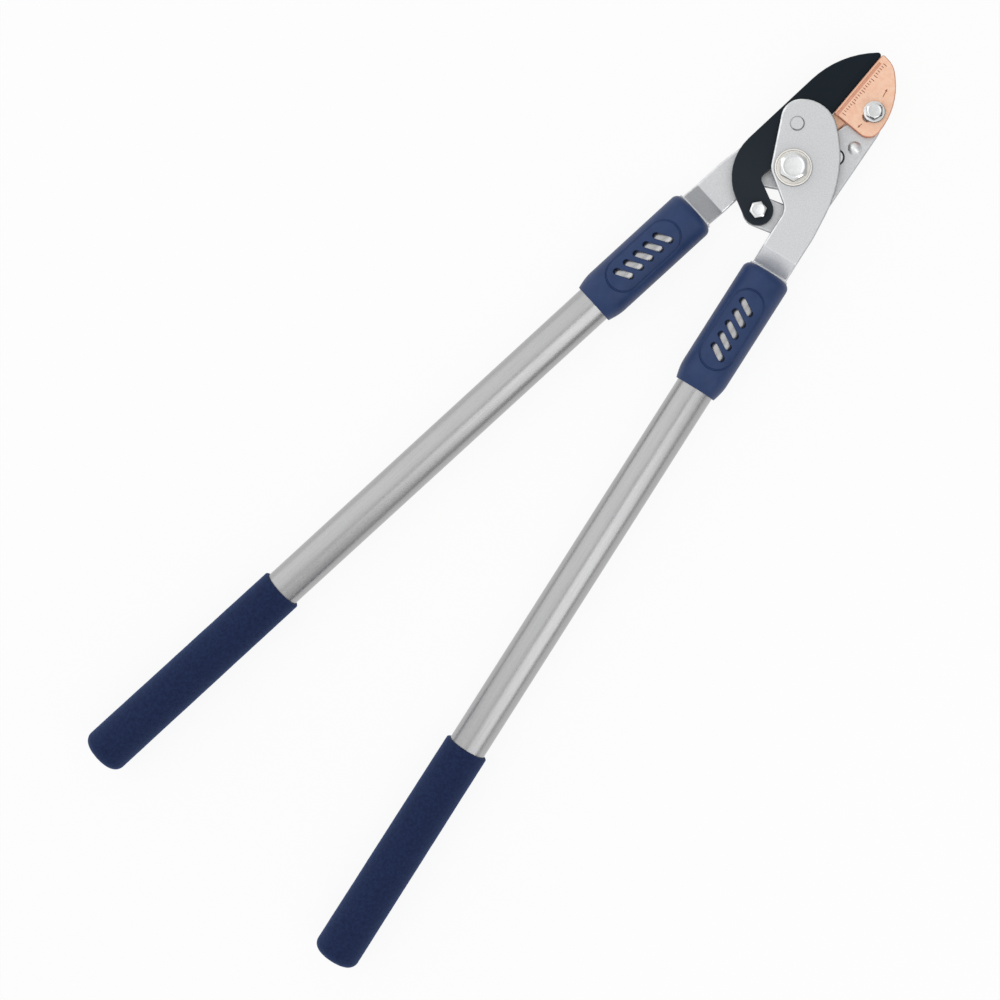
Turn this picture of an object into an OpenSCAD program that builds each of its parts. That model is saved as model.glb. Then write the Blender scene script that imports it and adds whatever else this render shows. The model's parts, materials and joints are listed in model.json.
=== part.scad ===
// Anvil lopper with a compound linkage, jaws closed, lying on its back.
// Origin: main pivot axis on the resting plane. +Y points to the jaws, +Z to the front.

/* [Linkage] */
// Main pivot to each jaw pivot
pivot_arm = 28.7; // [26:0.1:34]
// Angle of the jaw pivots from the middle line
pivot_angle = 35; // [30:0.5:40]
// Main pivot to the tail pivot where blade and carrier meet
tail_drop = 35.2; // [32:0.1:42]
// Lean of each handle from the middle line with the jaws closed
handle_lean = 7.7; // [6:0.1:12]
// Main pivot to the axis of each handle
handle_offset = 23; // [20:0.5:28]

/* [Plates] */
// Thickness of the two handle tangs
tang_t = 4; // [3:0.1:6]
// Thickness of the blade
blade_t = 4; // [3:0.1:6]
// Thickness of the anvil carrier
carrier_t = 4; // [3:0.1:6]
// Free gap between plates that slide over each other
play = 0.3; // [0.2:0.05:0.5]

/* [Tangs] */
// Width of a tang where it enters the collar
strap_w = 25.5; // [20:0.5:26]
// Main pivot to the mouth of the collar, along the handle
tang_reach = 65.5; // [62:0.5:90]
// Length of the sloped step beside the collar
joggle_l = 11.5; // [10:0.5:18]
// Rounding of the bends of the step and of the tongue's end
bend_r = 2; // [1:0.5:4]
// Width of the tongue inside the tube
tongue_w = 16; // [12:0.5:18]
// Length of the tongue inside the tube
tongue_l = 82; // [78:1:120]

/* [Jaws] */
// Main pivot to the tip of the blade
jaw_reach = 92.6; // [85:0.1:115]
// Middle line to the widest place of the blade
jaw_w = 35.6; // [34:0.1:42]
// Middle line to the cutting line
cut_x = 3.2; // [1:0.1:5]
// Width of the ground faces beside the cutting edge
bevel_w = 4.5; // [3:0.1:8]
// Flat left along the cutting edge
edge_t = 0.4; // [0.2:0.1:1]
// Round tail of the blade
tail_r = 10; // [9:0.1:12]
// Extra radius of the tail of the carrier
carrier_tail_extra = 0.3; // [0:0.1:2]
// Free neck between the plates and the spacer at the main pivot
neck_gap = 2.1; // [1:0.1:4]

/* [Anvil] */
// Heel to tip of the anvil
anvil_l = 49.2; // [44:0.1:60]
// Working face to the far edge of the anvil
anvil_w = 33; // [30:0.1:36]
// Main pivot to the heel of the anvil
heel_y = 44.3; // [42:0.1:50]
// Width of the anvil's web at its heel
web_w = 10.8; // [9:0.1:13]
// Length of the web below the heel
web_drop = 8; // [4:0.5:10]
// Slope of the seat that the anvil slides along
ramp_angle = 14; // [8:0.5:16]
// Adjusting travel of the anvil along its seat
anvil_travel = 5; // [2:0.5:6]
// Width of the line cut beside the working face
groove_w = 1.7; // [0.6:0.1:2]
// Depth of that line
groove_depth = 0.5; // [0.2:0.1:1]

/* [Tubes] */
// Outside diameter of the tubes
tube_d = 26; // [25:0.1:30]
// Wall of the tubes
tube_wall = 1.5; // [1:0.1:2.5]
// Bare tube between collar and grip
tube_bare_l = 282; // [150:1:500]

/* [Grips] */
// Foam on the tube at the closed end of the grip
foam_t = 2.9; // [2.9:0.1:6]
// Foam on the tube at the open end of the grip
foam_top_t = 2.4; // [1.5:0.1:2.9]
// Length of a grip
grip_l = 170; // [100:1:220]
// Foam closing the end of the grip
grip_end_wall = 5; // [3:0.5:10]
// Rounding of the closed end
grip_round = 6.5; // [3:0.5:10]
// Rounding of the open rim
grip_rim = 1.1; // [0.5:0.1:1.3]

/* [Collars] */
// Wall of a collar round the tube
collar_wall = 3.75; // [3:0.05:6]
// Length of a collar
collar_l = 89.5; // [80:0.5:120]
// Wall across the head end of a collar
collar_end_wall = 4; // [3:0.5:6]
// Rounding of the head end
collar_round = 5; // [2:0.5:6]
// Length of the tapered tail end
collar_taper_l = 12; // [6:0.5:16]
// Wall left at the tail rim
collar_rim = 1.5; // [0.8:0.1:2.5]
// Length of the oval line round the windows
oval_l = 59; // [50:1:70]
// Width of the oval line round the windows
oval_w = 24; // [20:0.5:26]
// Thickness of the oval line
oval_line_w = 0.9; // [0.5:0.1:1.5]
// Depth of the oval line
oval_line_depth = 0.6; // [0.3:0.1:1]
// Number of windows
window_count = 5; // [3:1:5]
// Length of a window
window_l = 14.5; // [10:0.5:16]
// Width of a window
window_w = 4.2; // [3:0.1:5]
// Distance between windows
window_pitch = 8.6; // [8:0.1:9]
// Slant of the windows
window_slant = 62; // [55:1:90]

/* [Main bolt] */
// Diameter of the main bolt
main_d = 10; // [8:1:10]
// Width across flats of the main head and nut
main_af = 17; // [16:0.5:19]
// Height of the main head
main_head_h = 6.4; // [5:0.1:8]
// Height of the thin lock nut
main_nut_h = 5; // [4:0.1:6]
// Diameter of the two main washers
main_washer_d = 24.5; // [21:0.5:27]
// Thickness of the two main washers
main_washer_t = 1.6; // [1:0.1:2.5]
// Diameter of the spacer between the tangs
spacer_d = 15; // [13:0.5:18]

/* [Small fasteners] */
// Diameter of the jaw pivot rivets
rivet_d = 9.3; // [8:0.1:11]
// Diameter of the rear heads of the jaw pivot rivets
rivet_head_d = 14; // [12:0.5:18]
// Thickness of those heads
rivet_head_t = 1.4; // [1:0.1:2]
// How far the front ends of the rivets stand proud
rivet_proud = 0.9; // [0.2:0.1:1]
// Wall of the nylon bushes round the rivets
bush_wall = 1; // [0.8:0.1:1.5]
// Diameter of the tail bolt and the anvil bolt
small_d = 6; // [5:0.5:6]
// Width across flats of their heads and nuts
small_af = 10; // [9:0.5:11]
// Height of the tail bolt head
tail_head_h = 4; // [3:0.1:5]
// Height of the small nuts
small_nut_h = 5; // [4:0.1:5.5]
// Diameter of the tail washer
tail_washer_d = 14; // [12:0.5:16]
// Thickness of the tail washer
tail_washer_t = 1.2; // [0.8:0.1:2]
// Room round the tail bolt in the carrier
tail_room = 0.95; // [0.9:0.05:1.2]
// Diameter of the flange of the anvil bolt
flange_d = 14.2; // [12:0.1:15]
// Thickness of that flange
flange_t = 1.4; // [1:0.1:2]
// Height of the anvil bolt head above its flange
flange_head_h = 4; // [3:0.1:5]
// Diameter of the domed stop stud
stud_d = 9.2; // [7:0.1:10]
// Height of the dome of the stud
stud_h = 2.4; // [1.5:0.1:3.5]
// Diameter of the cross pins that hold the tongues
pin_d = 5; // [4:0.1:6]

/* [Tube inserts] */
// Rim of the nylon socket round the strap at the collar's mouth
lip_w = 1.2; // [0.8:0.1:1.6]
// How far that rim stands out of the mouth
lip_proud = 0.7; // [0.3:0.1:1.5]
// Length of the socket beyond the tongue
socket_extra_l = 4; // [2:0.5:10]
// Length of the plug in the gripped end of the tube
plug_l = 22; // [15:0.5:30]
// Flange of that plug on the end of the tube
plug_flange_t = 2; // [1:0.1:4]
// Wall of the plug
plug_wall = 2.5; // [1.5:0.1:4]

/* [Hidden] */

$fn = 48;
arc_steps = 8;
quarter_turn = 90;
// Overrun of cuts, and the clearance of pieces that are fitted into each other
over = 1;
fit = 0.05;

// Colours
silver_paint = "#c3c6ca";
bare_aluminium = "#b3b4b7";
black_coat = "#23272e";
copper = "#e3a585";
zinc = "#d5d7d8";
pale_zinc = "#e6ddc8";
navy_plastic = "#3c4c73";
navy_foam = "#26335c";
black_nylon = "#1c1d20";
white_nylon = "#dcdde0";

// Small sizes of single pieces
bolt_tip = 0.5;
bolt_chamfer = 0.8;
pin_sink = 0.6;
bush_proud = 0.3;
slot_room = 0.2;

// Diameters that follow from the tube
tube_r = tube_d / 2;
bore_r = tube_r - tube_wall;
grip_d = tube_d + 2 * foam_t;
grip_top_d = tube_d + 2 * foam_top_t;
collar_d = tube_d + 2 * collar_wall;

// Heights: the four plates lie in layers, two on each side of the handle axes
stack_h = 2 * tang_t + blade_t + carrier_t + 3 * play;
rear_h = play + main_washer_t + main_nut_h + bolt_tip;
axis_z = max(grip_d / 2, stack_h / 2 + rear_h);
left_z = axis_z - stack_h / 2;
carrier_z = left_z + tang_t + play;
blade_z = carrier_z + carrier_t + play;
right_z = blade_z + blade_t + play;
front_z = right_z + tang_t;
strap_z = axis_z - tang_t / 2;
main_rear_z = left_z - play - main_washer_t;
main_head_z = front_z + main_washer_t;
carrier_front_z = carrier_z + carrier_t;
blade_front_z = blade_z + blade_t;
tail_rear_z = carrier_z - play - tail_washer_t;

// Pivots
main_pivot = [0, 0];
blade_pivot = pivot_arm * [-sin(pivot_angle), cos(pivot_angle)];
carrier_pivot = pivot_arm * [sin(pivot_angle), cos(pivot_angle)];
tail_pivot = [0, -tail_drop];

// Radii of what sits on the pivots
main_r = main_d / 2;
spacer_r = spacer_d / 2;
rivet_r = rivet_d / 2;
bush_r = rivet_r + fit + bush_wall;
small_r = small_d / 2;
pin_r = pin_d / 2;

// Places along a handle, from the foot of the main pivot
tube_start = tang_reach + collar_end_wall;
tongue_end = tube_start + tongue_l;
grip_start = tang_reach + collar_l + tube_bare_l;
grip_end = grip_start + grip_l;
tube_end = grip_end - grip_end_wall - plug_flange_t;
pin_shares = [0.07, 0.93];
pin_places = [for (share = pin_shares) [handle_offset, -tube_start - share * tongue_l]];

// Corners of a tang's head as shares of the pivot arm: place and rounding
shoulder_shares = [-1.09, 1.75];
head_shares = [[1.1, 0.54, 2.85], [-0.12, 1.76, 0.8], [-1, 1.21, 0.45], [-0.43, -0.29, 0.42]];
throat_shares = [-0.89, 0.35];

// Corners of the blade's back as shares of its width and reach
back_shares = [[0.155, 1, 0.04], [0.705, 0.82, 1.75]];
tip_r_share = 0.04;

// Corners of belly, notch and neck: widths and roundings as shares of the jaw width,
// heights as shares of the tail drop, or of the pivot arm at the neck
belly_shares = [1.07, -0.77, 0.97];
carrier_belly_shares = [1.05, -0.97, 0.78];
notch_shares = [0.36, -0.51, 0.11];
carrier_notch_shares = [0.36, -0.57, 0.11];
neck_y_shares = [-0.1, 0.2, 0.6];
neck_r_share = 0.16;

// Corners of the carrier under the anvil as shares of the anvil's width and length
carrier_end_shares = [[0.95, 0.18, 0.6], [0.72, 0.53, 0.12]];
seat_end_shares = [0.54, 0.06];

// Corners of the anvil as shares of its width and length
anvil_shares = [[0, 0, 0.03], [0.935, 0, 0.26], [0.921, 0.589, 1.4], [0.312, 0.972, 0.48], [0, 1, 0.05]];
anvil_bolt_shares = [0.597, 0.34];
groove_x_share = 0.043;
groove_y_shares = [-0.02, 0.88];

// Other shares: stud place in pivot arms, stud shank in stud diameters, and so on
stud_shares = [0.77, 1.25];
stud_shank_share = 0.6;
hex_chamfer_share = 0.09;
grip_dome_share = 0.06;
taper_r_share = 1.5;

// The anvil's working face, its seat and its bolt
face_x = play - cut_x;
seat_dir = [sin(ramp_angle), cos(ramp_angle)];
anvil_bolt_at = [face_x + anvil_bolt_shares.x * anvil_w, heel_y + anvil_bolt_shares.y * anvil_l];
stud_at = pivot_arm * stud_shares;
function seat_x(y) = web_w - cut_x + (y - heel_y) * tan(ramp_angle);

// Outlines with rounded corners, each corner as [x, y, rounding]
function flat(p) = [p.x, p.y];
function unit(v) = v / norm(v);
function bearing(v) = atan2(v.y, v.x);
function polar(r, a) = r * [cos(a), sin(a)];
function wrap(a) = a > 180 ? a - 360 : a < -180 ? a + 360 : a;
function arc(centre, from, to, r) =
    let(start = bearing(from - centre), turn = wrap(bearing(to - centre) - start))
    [for (i = [0 : arc_steps]) centre + polar(r, start + turn * i / arc_steps)];
function corner(before, at, after, r) =
    let(
        u = unit(before - at),
        v = unit(after - at),
        half = acos(u * v) / 2,
        centre = at + unit(u + v) * r / sin(half)
    )
    arc(centre, at + u * r / tan(half), at + v * r / tan(half), r);
function outline(pts) =
    let(n = len(pts))
    [for (i = [0 : n - 1])
        each pts[i].z > 0
            ? corner(flat(pts[(i + n - 1) % n]), flat(pts[i]), flat(pts[(i + 1) % n]), pts[i].z)
            : [flat(pts[i])]];

// The place where a line from p touches a circle
function touch(p, centre, r, side) =
    let(v = flat(p) - centre)
    centre + polar(r, bearing(v) + side * acos(r / norm(v)));

// Shared building blocks
module slab(z, t) {
    translate([0, 0, z])
        linear_extrude(height = t)
            children();
}

module disc(at, z, h, r) {
    translate([at.x, at.y, z])
        cylinder(h = h, r = r);
}

module drill(at, z, h, r) {
    disc(at, z - over, h + 2 * over, r);
}

module ring(at, z, h, r, bore) {
    difference() {
        disc(at, z, h, r);
        drill(at, z, h, bore);
    }
}

// A hexagon whose corners are turned down at its upper end
module hexagon(at, z, h, af) {
    corner_r = af / sqrt(3);
    cut = af * hex_chamfer_share;
    translate([at.x, at.y, z])
        intersection() {
            cylinder(h = h, r = corner_r, $fn = 6);
            union() {
                cylinder(h = h - cut, r = corner_r + over);
                translate([0, 0, h - cut])
                    cylinder(h = cut, r1 = corner_r, r2 = af / 2 - cut);
            }
        }
}

// A nut whose turned end faces down, with its top at height z
module nut(at, z, h, af, bore) {
    difference() {
        translate([0, 0, z])
            mirror([0, 0, 1])
                hexagon(at, 0, h, af);
        drill(at, z - h, h, bore);
    }
}

module stadium(l, w) {
    square([w, l - w], center = true);
    for (end = [-1, 1])
        translate([0, end * (l - w) / 2])
            circle(d = w);
}

// Side 1 is the right handle, side -1 the left one
module on_side(side) {
    mirror([side < 0 ? 1 : 0, 0, 0])
        rotate([0, 0, handle_lean])
            children();
}

// Local X across the handle, Y to the front and Z down the handle
module down_handle(s) {
    translate([handle_offset, -s, axis_z])
        rotate([90, 0, 0])
            children();
}

// Front view of a tang in the frame of its handle
module tang_front() {
    strap = [handle_offset - strap_w / 2, handle_offset + strap_w / 2];
    tongue = [handle_offset - tongue_w / 2, handle_offset + tongue_w / 2];
    polygon(outline(concat(
        [[tongue[1], -tongue_end, bend_r], [tongue[1], -tube_start, 0], [strap[1], -tube_start, 0]],
        [[strap[1], shoulder_shares.x * pivot_arm, shoulder_shares.y * pivot_arm]],
        head_shares * pivot_arm,
        [[strap[0], throat_shares.x * pivot_arm, throat_shares.y * pivot_arm]],
        [[strap[0], -tube_start, 0], [tongue[0], -tube_start, 0], [tongue[0], -tongue_end, bend_r]]
    )));
}

// Side view of a tang whose head lies at height z
module tang_profile(z) {
    head_end = 2 * pivot_arm;
    step_end = lip_proud + bend_r / 2 - tang_reach;
    step_start = step_end + joggle_l;
    polygon(outline([
        [head_end, z, 0],
        [step_start, z, bend_r],
        [step_end, strap_z, bend_r],
        [-tongue_end, strap_z, 0],
        [-tongue_end, strap_z + tang_t, 0],
        [step_end, strap_z + tang_t, bend_r],
        [step_start, z + tang_t, bend_r],
        [head_end, z + tang_t, 0]
    ]));
}

module tang(side, z, rivet_at) {
    difference() {
        on_side(side)
            intersection() {
                slab(0, 2 * axis_z)
                    tang_front();
                translate([-2 * pivot_arm, 0, 0])
                    rotate([90, 0, 90])
                        linear_extrude(height = 2 * pivot_arm + handle_offset + strap_w)
                            tang_profile(z);
            }
        drill(main_pivot, z, tang_t, main_r + fit);
        drill(rivet_at, z, tang_t, rivet_r + fit);
        on_side(side)
            for (at = pin_places)
                drill(at, strap_z, tang_t, pin_r + fit);
    }
}

module right_tang() {
    color(silver_paint)
        tang(1, right_z, blade_pivot);
}

module left_tang() {
    color(silver_paint)
        tang(-1, left_z, carrier_pivot);
}

module tube(side) {
    color(bare_aluminium)
        on_side(side)
            difference() {
                down_handle(tube_start)
                    ring(main_pivot, 0, tube_end - tube_start, tube_r, bore_r);
                for (at = pin_places)
                    drill(at, axis_z - tube_r, tube_d, pin_r + fit);
            }
}

module right_tube() {
    tube(1);
}

module left_tube() {
    tube(-1);
}

module collar_body() {
    collar_r = collar_d / 2;
    hole_r = tube_r + fit;
    rotate_extrude()
        polygon(outline([
            [0, 0, 0],
            [collar_r, 0, collar_round],
            [collar_r, collar_l - collar_taper_l, taper_r_share * collar_taper_l],
            [tube_r + collar_rim, collar_l, 0],
            [hole_r, collar_l, 0],
            [hole_r, collar_end_wall, 0],
            [0, collar_end_wall, 0]
        ]));
}

// The windows and the oval line, drawn on the front of the collar
module collar_windows() {
    for (i = [0 : window_count - 1])
        translate([0, (i - (window_count - 1) / 2) * window_pitch])
            rotate(window_slant)
                stadium(window_l, window_w);
}

module oval_line() {
    difference() {
        stadium(oval_l, oval_w);
        stadium(oval_l - 2 * oval_line_w, oval_w - 2 * oval_line_w);
    }
}

module on_collar_front() {
    translate([handle_offset, -tang_reach - collar_l / 2, 0])
        slab(axis_z, collar_d)
            children();
}

module collar(side) {
    mouth_w = strap_w + 2 * (lip_w + fit);
    mouth_h = tang_t + 2 * (lip_w + fit);
    color(navy_plastic)
        on_side(side)
            difference() {
                intersection() {
                    down_handle(tang_reach)
                        collar_body();
                    translate([handle_offset - collar_d, -tang_reach - collar_l - over, 0])
                        cube([2 * collar_d, collar_l + 2 * over, axis_z + collar_d]);
                }
                down_handle(tang_reach)
                    translate([-mouth_w / 2, -mouth_h / 2, -over])
                        cube([mouth_w, mouth_h, collar_end_wall + over]);
                on_collar_front()
                    collar_windows();
                difference() {
                    on_collar_front()
                        oval_line();
                    down_handle(tang_reach - over)
                        cylinder(h = collar_l + 2 * over, r = collar_d / 2 - oval_line_depth);
                }
            }
}

module right_collar() {
    collar(1);
}

module left_collar() {
    collar(-1);
}

module grip(side) {
    hole_r = tube_r + fit;
    hole_l = grip_l - grip_end_wall;
    color(navy_foam)
        on_side(side)
            down_handle(grip_start)
                rotate_extrude()
                    polygon(outline([
                        [hole_r, 0, 0],
                        [grip_top_d / 2, 0, grip_rim],
                        [grip_d / 2, grip_l - grip_dome_share * grip_d, grip_round],
                        [0, grip_l, 0],
                        [0, hole_l, 0],
                        [hole_r, hole_l, 0]
                    ]));
}

module right_grip() {
    grip(1);
}

module left_grip() {
    grip(-1);
}

// A block round the handle axis, from s to s + l
module axis_block(s, w, h, l) {
    down_handle(s)
        translate([-w / 2, -h / 2, 0])
            cube([w, h, l]);
}

// Nylon socket in the head end of the tube, with a rim round the strap
module socket(side) {
    rim_l = collar_end_wall + lip_proud;
    rim_h = tang_t + 2 * lip_w;
    slot_h = tang_t + 2 * fit;
    color(white_nylon)
        on_side(side)
            difference() {
                union() {
                    down_handle(tube_start)
                        cylinder(h = tongue_l + socket_extra_l, r = bore_r - fit);
                    axis_block(tube_start - rim_l, strap_w + 2 * lip_w, rim_h, rim_l);
                    axis_block(tube_start - over, tongue_w, rim_h, 2 * over);
                }
                axis_block(tube_start - rim_l - over, strap_w + 2 * fit, slot_h, rim_l + over);
                axis_block(tube_start - over, tongue_w + 2 * fit, slot_h, tongue_l + over + fit);
                for (at = pin_places)
                    drill(at, axis_z - tube_r, tube_d, pin_r + fit);
            }
}

module right_socket() {
    socket(1);
}

module left_socket() {
    socket(-1);
}

module cross_pins(side) {
    pin_l = tube_d - pin_sink;
    color(zinc)
        on_side(side)
            for (at = pin_places)
                disc(at, axis_z - pin_l / 2, pin_l, pin_r);
}

module right_cross_pins() {
    cross_pins(1);
}

module left_cross_pins() {
    cross_pins(-1);
}

module end_plug(side) {
    plug_r = bore_r - fit;
    color(black_nylon)
        on_side(side)
            difference() {
                union() {
                    down_handle(tube_end - plug_l)
                        cylinder(h = plug_l + plug_flange_t, r = plug_r);
                    down_handle(tube_end)
                        cylinder(h = plug_flange_t, r = tube_r);
                }
                down_handle(tube_end - plug_l - over)
                    cylinder(h = plug_l + over, r = plug_r - plug_wall);
            }
}

module right_end_plug() {
    end_plug(1);
}

module left_end_plug() {
    end_plug(-1);
}

// Corners shared by blade and carrier: side -1 for the blade, 1 for the carrier
function low_corner(shares, side) = [side * shares.x * jaw_w, shares.y * tail_drop, shares.z * jaw_w];
function neck(side, i, x) = [side * x, neck_y_shares[i] * pivot_arm, neck_r_share * jaw_w];
function sharp(pts) = [for (p = pts) [p.x, p.y, 0]];

// The round tail between two places where the edges touch it
function tail_arc(from, to, r, side) =
    let(end = tail_pivot + polar(r, bearing(from - tail_pivot) - side * quarter_turn))
    sharp(concat(arc(tail_pivot, from, end, r), arc(tail_pivot, end, to, r)));
function lower_half(low_shares, high_shares, r, side) =
    let(belly = low_corner(low_shares, side), notch = low_corner(high_shares, side))
    concat(
        [belly],
        tail_arc(touch(belly, tail_pivot, r, -side), touch(notch, tail_pivot, r, side), r, side),
        [notch, neck(side, 0, spacer_r + neck_gap), neck(side, 1, spacer_r + neck_gap)]
    );

module blade_front() {
    polygon(outline(concat(
        [[-cut_x, jaw_reach, tip_r_share * jaw_w]],
        [for (p = back_shares) [-p.x * jaw_w, p.y * jaw_reach, p.z * jaw_w]],
        lower_half(belly_shares, notch_shares, tail_r, -1),
        [neck(-1, 2, cut_x)]
    )));
}

// What is ground off one face of the blade, seen along the cutting edge
module bevel_cut(face_z, side) {
    edge_z = blade_z + (blade_t + side * edge_t) / 2;
    slope = (face_z - edge_z) / bevel_w;
    translate([0, jaw_reach + over, 0])
        rotate([90, 0, 0])
            linear_extrude(height = jaw_reach + over - heel_y + web_drop)
                polygon([
                    [-cut_x - bevel_w, face_z],
                    [-cut_x + over, edge_z - slope * over],
                    [-cut_x + over, face_z + side * over],
                    [-cut_x - bevel_w, face_z + side * over]
                ]);
}

module blade() {
    color(black_coat)
        difference() {
            slab(blade_z, blade_t)
                blade_front();
            drill(blade_pivot, blade_z, blade_t, bush_r + fit);
            drill(tail_pivot, blade_z, blade_t, small_r + fit);
            bevel_cut(blade_front_z, 1);
            bevel_cut(blade_z, -1);
        }
}

module carrier_front() {
    seat_low_y = blade_pivot.y;
    seat_high_y = heel_y + seat_end_shares.x * anvil_l;
    polygon(outline(concat(
        [[seat_x(seat_high_y), seat_high_y, seat_end_shares.y * anvil_w]],
        [for (i = [1, 0]) let(p = carrier_end_shares[i])
            [face_x + p.x * anvil_w, heel_y + p.y * anvil_l, p.z * anvil_w]],
        lower_half(carrier_belly_shares, carrier_notch_shares, tail_r + carrier_tail_extra, 1),
        [[seat_x(seat_low_y), seat_low_y, neck_r_share * jaw_w]]
    )));
}

module anvil_carrier() {
    color(silver_paint)
        difference() {
            slab(carrier_z, carrier_t)
                carrier_front();
            drill(carrier_pivot, carrier_z, carrier_t, bush_r + fit);
            drill(tail_pivot, carrier_z, carrier_t, small_r + tail_room);
            drill(anvil_bolt_at, carrier_z, carrier_t, small_r + fit);
            drill(stud_at, carrier_z, carrier_t, stud_shank_share * stud_d / 2 + fit);
        }
}

module anvil_front() {
    polygon(outline([
        for (p = anvil_shares) [face_x + p.x * anvil_w, heel_y + p.y * anvil_l, p.z * anvil_w]
    ]));
}

// The web between the working face and the carrier's seat
module web_front() {
    seat_gap = play / cos(ramp_angle);
    low_y = heel_y - web_drop;
    high_y = heel_y + anvil_l;
    polygon([
        [face_x, low_y],
        [seat_x(low_y) - seat_gap, low_y],
        [seat_x(high_y) - seat_gap, high_y],
        [face_x, high_y]
    ]);
}

module anvil() {
    slot_w = 2 * (small_r + slot_room);
    slot_at = anvil_bolt_at - seat_dir * anvil_travel / 2;
    color(copper)
        difference() {
            union() {
                slab(blade_z, blade_t)
                    anvil_front();
                slab(carrier_z, blade_front_z - carrier_z)
                    intersection() {
                        anvil_front();
                        web_front();
                    }
                slab(carrier_z, carrier_t + play)
                    intersection() {
                        web_front();
                        translate([face_x, heel_y - web_drop])
                            square([anvil_w, 2 * web_drop]);
                    }
            }
            translate(slot_at)
                slab(blade_z - over, blade_t + 2 * over)
                    rotate(-ramp_angle)
                        stadium(slot_w + anvil_travel, slot_w);
            translate([face_x + groove_x_share * anvil_w, heel_y + groove_y_shares[0] * anvil_l])
                slab(blade_front_z - groove_depth, groove_depth + over)
                    square([groove_w, (groove_y_shares[1] - groove_y_shares[0]) * anvil_l]);
        }
}

// A bolt shank from height z up, chamfered at its free end
module shank(at, z, h, r) {
    disc(at, z + bolt_chamfer, h - bolt_chamfer, r);
    translate([at.x, at.y, z])
        cylinder(h = bolt_chamfer, r1 = r - bolt_chamfer, r2 = r);
}

module main_bolt() {
    color(zinc) {
        shank(main_pivot, 0, main_head_z + main_head_h / 2, main_r);
        hexagon(main_pivot, main_head_z, main_head_h, main_af);
    }
}

module main_front_washer() {
    color(pale_zinc)
        ring(main_pivot, front_z, main_washer_t, main_washer_d / 2, main_r + fit);
}

module main_rear_washer() {
    color(pale_zinc)
        ring(main_pivot, main_rear_z, main_washer_t, main_washer_d / 2, main_r + fit);
}

module main_nut() {
    color(zinc)
        nut(main_pivot, main_rear_z, main_nut_h, main_af, main_r + fit);
}

module main_spacer() {
    spacer_z = left_z + tang_t + play;
    color(zinc)
        ring(main_pivot, spacer_z, right_z - spacer_z, spacer_r, main_r + fit);
}

// A rivet with its head at the rear
module rivet(at, head_z, end_z) {
    disc(at, head_z, rivet_head_t, rivet_head_d / 2);
    disc(at, head_z, end_z - head_z, rivet_r);
}

module blade_rivet() {
    color(silver_paint)
        rivet(blade_pivot, blade_z - play - rivet_head_t, front_z + rivet_proud);
}

module blade_bush() {
    color(black_nylon)
        ring(blade_pivot, blade_z, blade_t, bush_r, rivet_r + fit);
}

module carrier_rivet() {
    color(zinc)
        rivet(carrier_pivot, left_z - rivet_head_t, carrier_front_z + rivet_proud);
}

module carrier_bush() {
    color(black_nylon)
        ring(carrier_pivot, carrier_z, carrier_t + bush_proud, bush_r, rivet_r + fit);
}

module tail_bolt() {
    end_z = tail_rear_z - small_nut_h - bolt_tip;
    color(zinc) {
        shank(tail_pivot, end_z, blade_front_z + tail_head_h / 2 - end_z, small_r);
        hexagon(tail_pivot, blade_front_z, tail_head_h, small_af);
    }
}

module tail_washer() {
    color(zinc)
        ring(tail_pivot, tail_rear_z, tail_washer_t, tail_washer_d / 2, small_r + fit);
}

module tail_nut() {
    color(zinc)
        nut(tail_pivot, tail_rear_z, small_nut_h, small_af, small_r + fit);
}

module stop_stud() {
    stud_r = stud_d / 2;
    ball_r = (stud_r * stud_r + stud_h * stud_h) / (2 * stud_h);
    color(zinc) {
        disc(stud_at, carrier_z, carrier_t + stud_h / 2, stud_shank_share * stud_r);
        intersection() {
            disc(stud_at, carrier_front_z, stud_h + over, stud_r);
            translate([stud_at.x, stud_at.y, carrier_front_z + stud_h - ball_r])
                sphere(r = ball_r);
        }
    }
}

module anvil_bolt() {
    end_z = carrier_z - small_nut_h - bolt_tip;
    color(zinc) {
        shank(anvil_bolt_at, end_z, right_z + flange_t - end_z, small_r);
        disc(anvil_bolt_at, right_z, flange_t, flange_d / 2);
        hexagon(anvil_bolt_at, right_z, flange_t + flange_head_h, small_af);
    }
}

module anvil_nut() {
    color(zinc)
        nut(anvil_bolt_at, carrier_z, small_nut_h, small_af, small_r + fit);
}

right_tang();
right_tube();
right_collar();
right_grip();
right_socket();
right_cross_pins();
right_end_plug();
left_tang();
left_tube();
left_collar();
left_grip();
left_socket();
left_cross_pins();
left_end_plug();
blade();
anvil_carrier();
anvil();
main_bolt();
main_front_washer();
main_rear_washer();
main_nut();
main_spacer();
blade_rivet();
blade_bush();
carrier_rivet();
carrier_bush();
tail_bolt();
tail_washer();
tail_nut();
stop_stud();
anvil_bolt();
anvil_nut();
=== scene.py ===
"""Looks of the anvil lopper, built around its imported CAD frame."""
import json
import math

import bmesh
import bpy
from mathutils import Matrix, Vector, noise
from mathutils.geometry import delaunay_2d_cdt


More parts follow.
